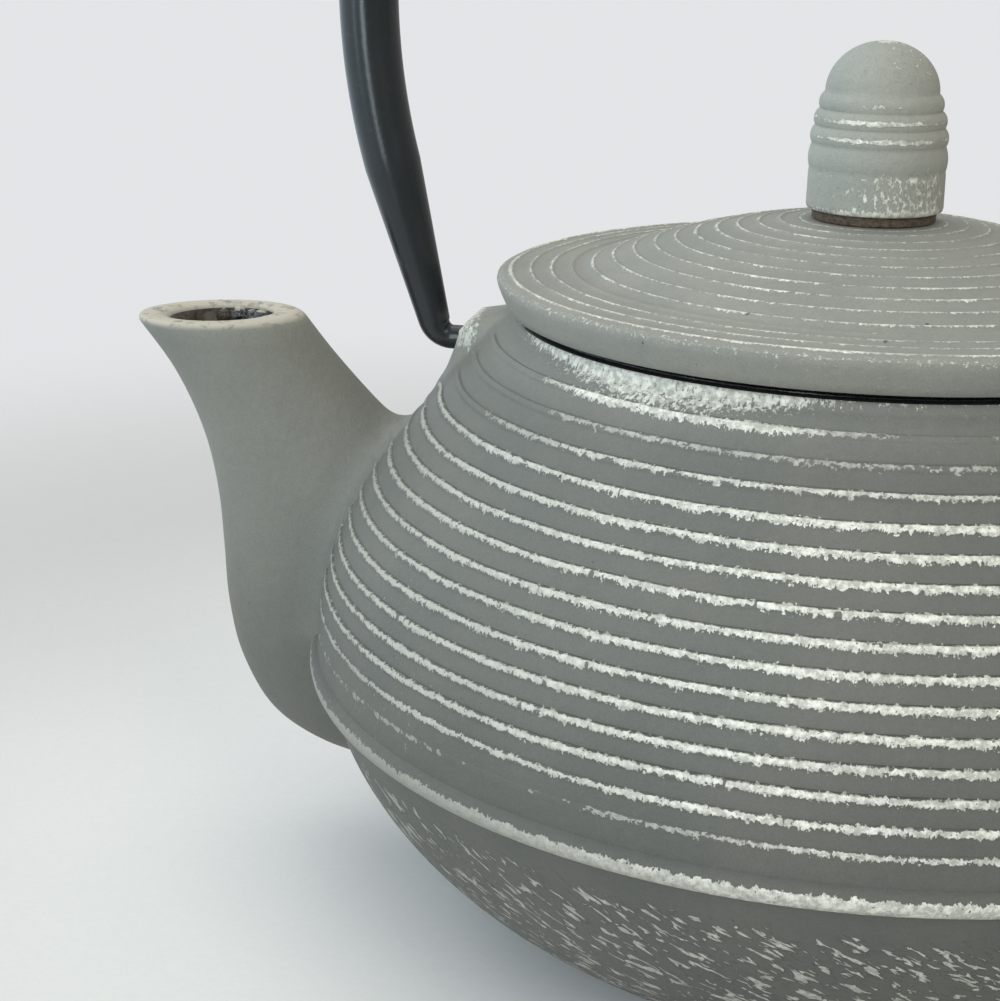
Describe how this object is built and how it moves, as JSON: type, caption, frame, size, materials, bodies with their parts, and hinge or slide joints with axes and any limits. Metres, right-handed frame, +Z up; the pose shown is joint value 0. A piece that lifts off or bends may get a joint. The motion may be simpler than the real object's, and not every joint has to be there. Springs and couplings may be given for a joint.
{
  "type": "cast iron teapot with infuser",
  "caption": "Round ringed cast-iron teapot with upright spout, swinging bail handle, knobbed lid and a mesh infuser basket.",
  "frame": {"origin": "centre of the flat foot that the pot stands on, on the pot's axis", "axes": "+Z up along the pot's axis; the spout points along -X; the bail's plane is XZ"},
  "size_m": [0.1902, 0.16, 0.1923],
  "materials": {
    "cast_paint": "matte grey paint with silver dry-brushed ridges",
    "handle_black": "satin black",
    "collar_brown": "dark brown fibre washer",
    "steel": "stainless steel, brushed",
    "steel_mesh": "stainless steel wire mesh"
  },
  "bodies": {
    "pot": {"pot_bowl": "cast_paint", "pot_shoulder": "cast_paint", "spout": "cast_paint", "lug_right": "cast_paint", "lug_left": "cast_paint"},
    "handle": {"bail_handle": "handle_black"},
    "infuser": {"infuser_rim": "steel", "infuser_clamp_ring": "steel", "infuser_wall": "steel_mesh", "infuser_seam": "steel", "infuser_base_ring": "steel", "infuser_floor": "steel_mesh"},
    "lid": {"lid": "cast_paint", "lid_knob": "cast_paint", "knob_collar": "collar_brown", "screw_washer": "steel", "knob_screw": "steel"}
  },
  "joints": [
    {"name": "handle_swing", "type": "hinge", "parent": "pot", "child": "handle", "pos_m": [0, 0, 0.0832], "axis": [1, 0, 0], "range_deg": [-115, 115]},
    {"name": "infuser_lift", "type": "slide", "parent": "pot", "child": "infuser", "axis": [0, 0, 1], "range_m": [0, 0.05]},
    {"name": "lid_lift", "type": "slide", "parent": "infuser", "child": "lid", "axis": [0, 0, 1], "range_m": [0, 0.05]}
  ]
}
